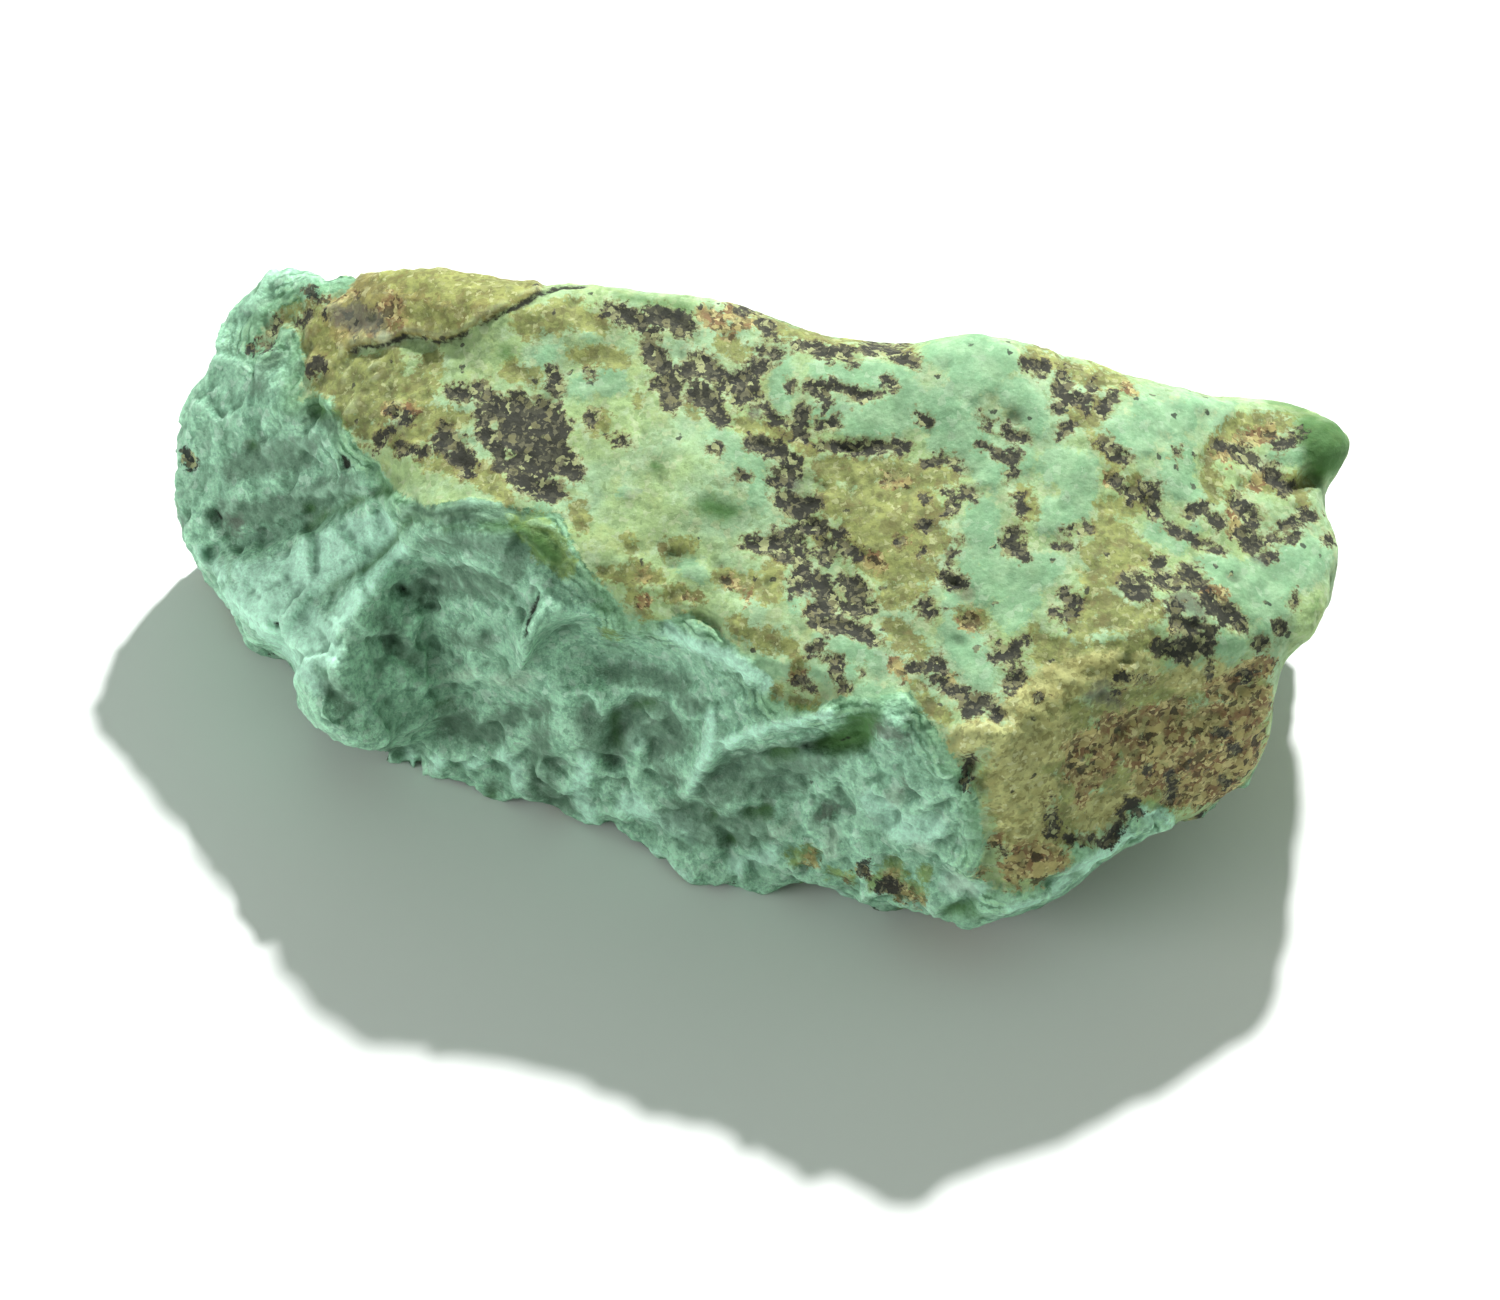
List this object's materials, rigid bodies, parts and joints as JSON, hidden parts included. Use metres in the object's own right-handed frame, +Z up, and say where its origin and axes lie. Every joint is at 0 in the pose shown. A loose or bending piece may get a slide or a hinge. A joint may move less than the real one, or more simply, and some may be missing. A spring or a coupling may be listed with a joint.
{
  "type": "chrysoprase mineral specimen",
  "caption": "Rough chrysoprase lump, long and blocky, with a mottled weathered rind on top, a pale blue-green broken face in front and a flat bed it rests on.",
  "frame": {"origin": "middle of the bounding box's footprint, on the plane the stone rests on", "axes": "+X along the longest extent toward the end with the small nub, +Y toward the hidden back, +Z up out of the weathered rind; the broken face looks toward -Y"},
  "size_m": [0.06, 0.0314, 0.0248],
  "materials": {
    "stone": "matte, powdery, mottled mint green, olive, rust brown and black"
  },
  "bodies": {
    "root": {"stone": "stone"}
  },
  "joints": []
}
